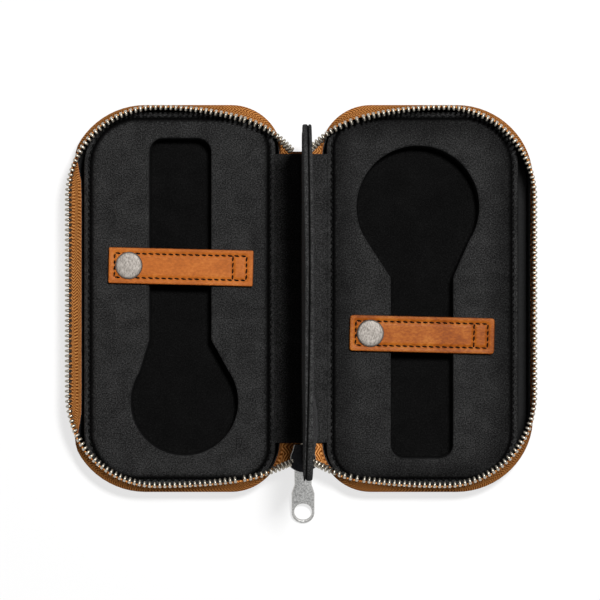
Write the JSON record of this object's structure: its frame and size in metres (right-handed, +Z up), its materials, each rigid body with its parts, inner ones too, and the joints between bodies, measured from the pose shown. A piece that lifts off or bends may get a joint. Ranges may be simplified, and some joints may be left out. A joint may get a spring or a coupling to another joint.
{
  "type": "watch travel case",
  "caption": "Zip-around leather travel case that opens flat like a book, with padded watch pockets, snap straps and an upright divider.",
  "frame": {"origin": "bottom centre of the case as it lies open, between the two covers, on the table", "axes": "+X across the spine towards the right half, +Y along the spine away from the zip slider, +Z up out of the open case"},
  "size_m": [0.2064, 0.1855, 0.0927],
  "materials": {
    "cover_leather": "satin vegetable-tanned",
    "strap_leather": "satin smooth",
    "suede": "fine matt nap",
    "zip_tape": "herringbone weave",
    "zip_metal": "polished nickel plate",
    "antique_nickel": "tumbled antique nickel",
    "foam": "closed-cell foam",
    "board": "pressed fibre board"
  },
  "bodies": {
    "left_half": {"left_cover_leather": "cover_leather", "left_wall_leather": "cover_leather", "left_fold_roll": "cover_leather", "left_cover_board": "board", "left_foam_core": "foam", "left_lining": "suede", "left_zip_tape": "zip_tape", "left_zip_teeth": "zip_metal", "left_rear_corner_tape": "zip_tape", "left_rear_corner_teeth": "zip_metal", "left_front_corner_tape": "zip_tape", "left_front_corner_teeth": "zip_metal", "left_strap_seat": "strap_leather", "left_snap_stud": "antique_nickel"},
    "spine": {"spine_leather": "cover_leather", "spine_lining": "suede", "zip_end_tape": "zip_tape", "zip_end_teeth": "zip_metal"},
    "right_half": {"right_cover_leather": "cover_leather", "right_wall_leather": "cover_leather", "right_fold_roll": "cover_leather", "right_cover_board": "board", "right_foam_core": "foam", "right_lining": "suede", "right_zip_tape": "zip_tape", "right_zip_teeth": "zip_metal", "right_rear_corner_tape": "zip_tape", "right_rear_corner_teeth": "zip_metal", "right_front_corner_tape": "zip_tape", "right_front_corner_teeth": "zip_metal", "right_strap_seat": "strap_leather", "right_snap_stud": "antique_nickel"},
    "left_flap": {"left_strap": "strap_leather", "left_strap_backing": "strap_leather", "left_snap_cap": "antique_nickel", "left_snap_socket": "antique_nickel"},
    "right_flap": {"right_strap": "strap_leather", "right_strap_backing": "strap_leather", "right_snap_cap": "antique_nickel", "right_snap_socket": "antique_nickel"},
    "divider_base": {"divider_foot": "suede"},
    "divider": {"divider_core": "board", "divider_left_face": "suede", "divider_right_face": "suede"},
    "slider": {"slider_body": "zip_metal", "slider_bail": "zip_metal"},
    "pull": {"zip_pull": "antique_nickel"}
  },
  "joints": [
    {"name": "left_fold", "type": "hinge", "parent": "left_half", "child": "spine", "pos_m": [-0.009, 0.00742, 0.0165], "axis": [0, -1, 0], "range_deg": [0, 90], "deforming": ["left_rear_corner_tape", "left_rear_corner_teeth", "left_front_corner_tape", "left_front_corner_teeth"]},
    {"name": "right_fold", "type": "hinge", "parent": "spine", "child": "right_half", "pos_m": [0.009, 0.00742, 0.0165], "axis": [0, -1, 0], "range_deg": [0, 90], "deforming": ["right_rear_corner_tape", "right_rear_corner_teeth", "right_front_corner_tape", "right_front_corner_teeth"]},
    {"name": "left_strap_lift", "type": "hinge", "parent": "left_half", "child": "left_flap", "pos_m": [-0.03096, 0.02079, 0.01935], "axis": [-0.0244, -0.9997, 0], "range_deg": [-105, 0]},
    {"name": "right_strap_lift", "type": "hinge", "parent": "right_half", "child": "right_flap", "pos_m": [0.07484, -0.00891, 0.01935], "axis": [-0.0244, -0.9997, 0], "range_deg": [-110, 0]},
    {"name": "divider_lean_left", "type": "hinge", "parent": "spine", "child": "divider_base", "pos_m": [0.0002, 0.00742, 0.0183], "axis": [0, 1, 0], "range_deg": [-74, 0]},
    {"name": "divider_lean_right", "type": "hinge", "parent": "divider_base", "child": "divider", "pos_m": [0.0042, 0.00742, 0.0197], "axis": [0, -1, 0], "range_deg": [-77, 0]},
    {"name": "slider_travel", "type": "slide", "parent": "spine", "child": "slider", "axis": [0, -1, 0], "range_m": [0, 0.006]},
    {"name": "pull_swing", "type": "hinge", "parent": "slider", "child": "pull", "pos_m": [0.0009, -0.06308, 0.01335], "axis": [-1, 0, 0], "range_deg": [-150, 0]}
  ],
  "couplings": [
    {"joint": "right_fold", "follows": "left_fold", "ratio": 1}
  ]
}
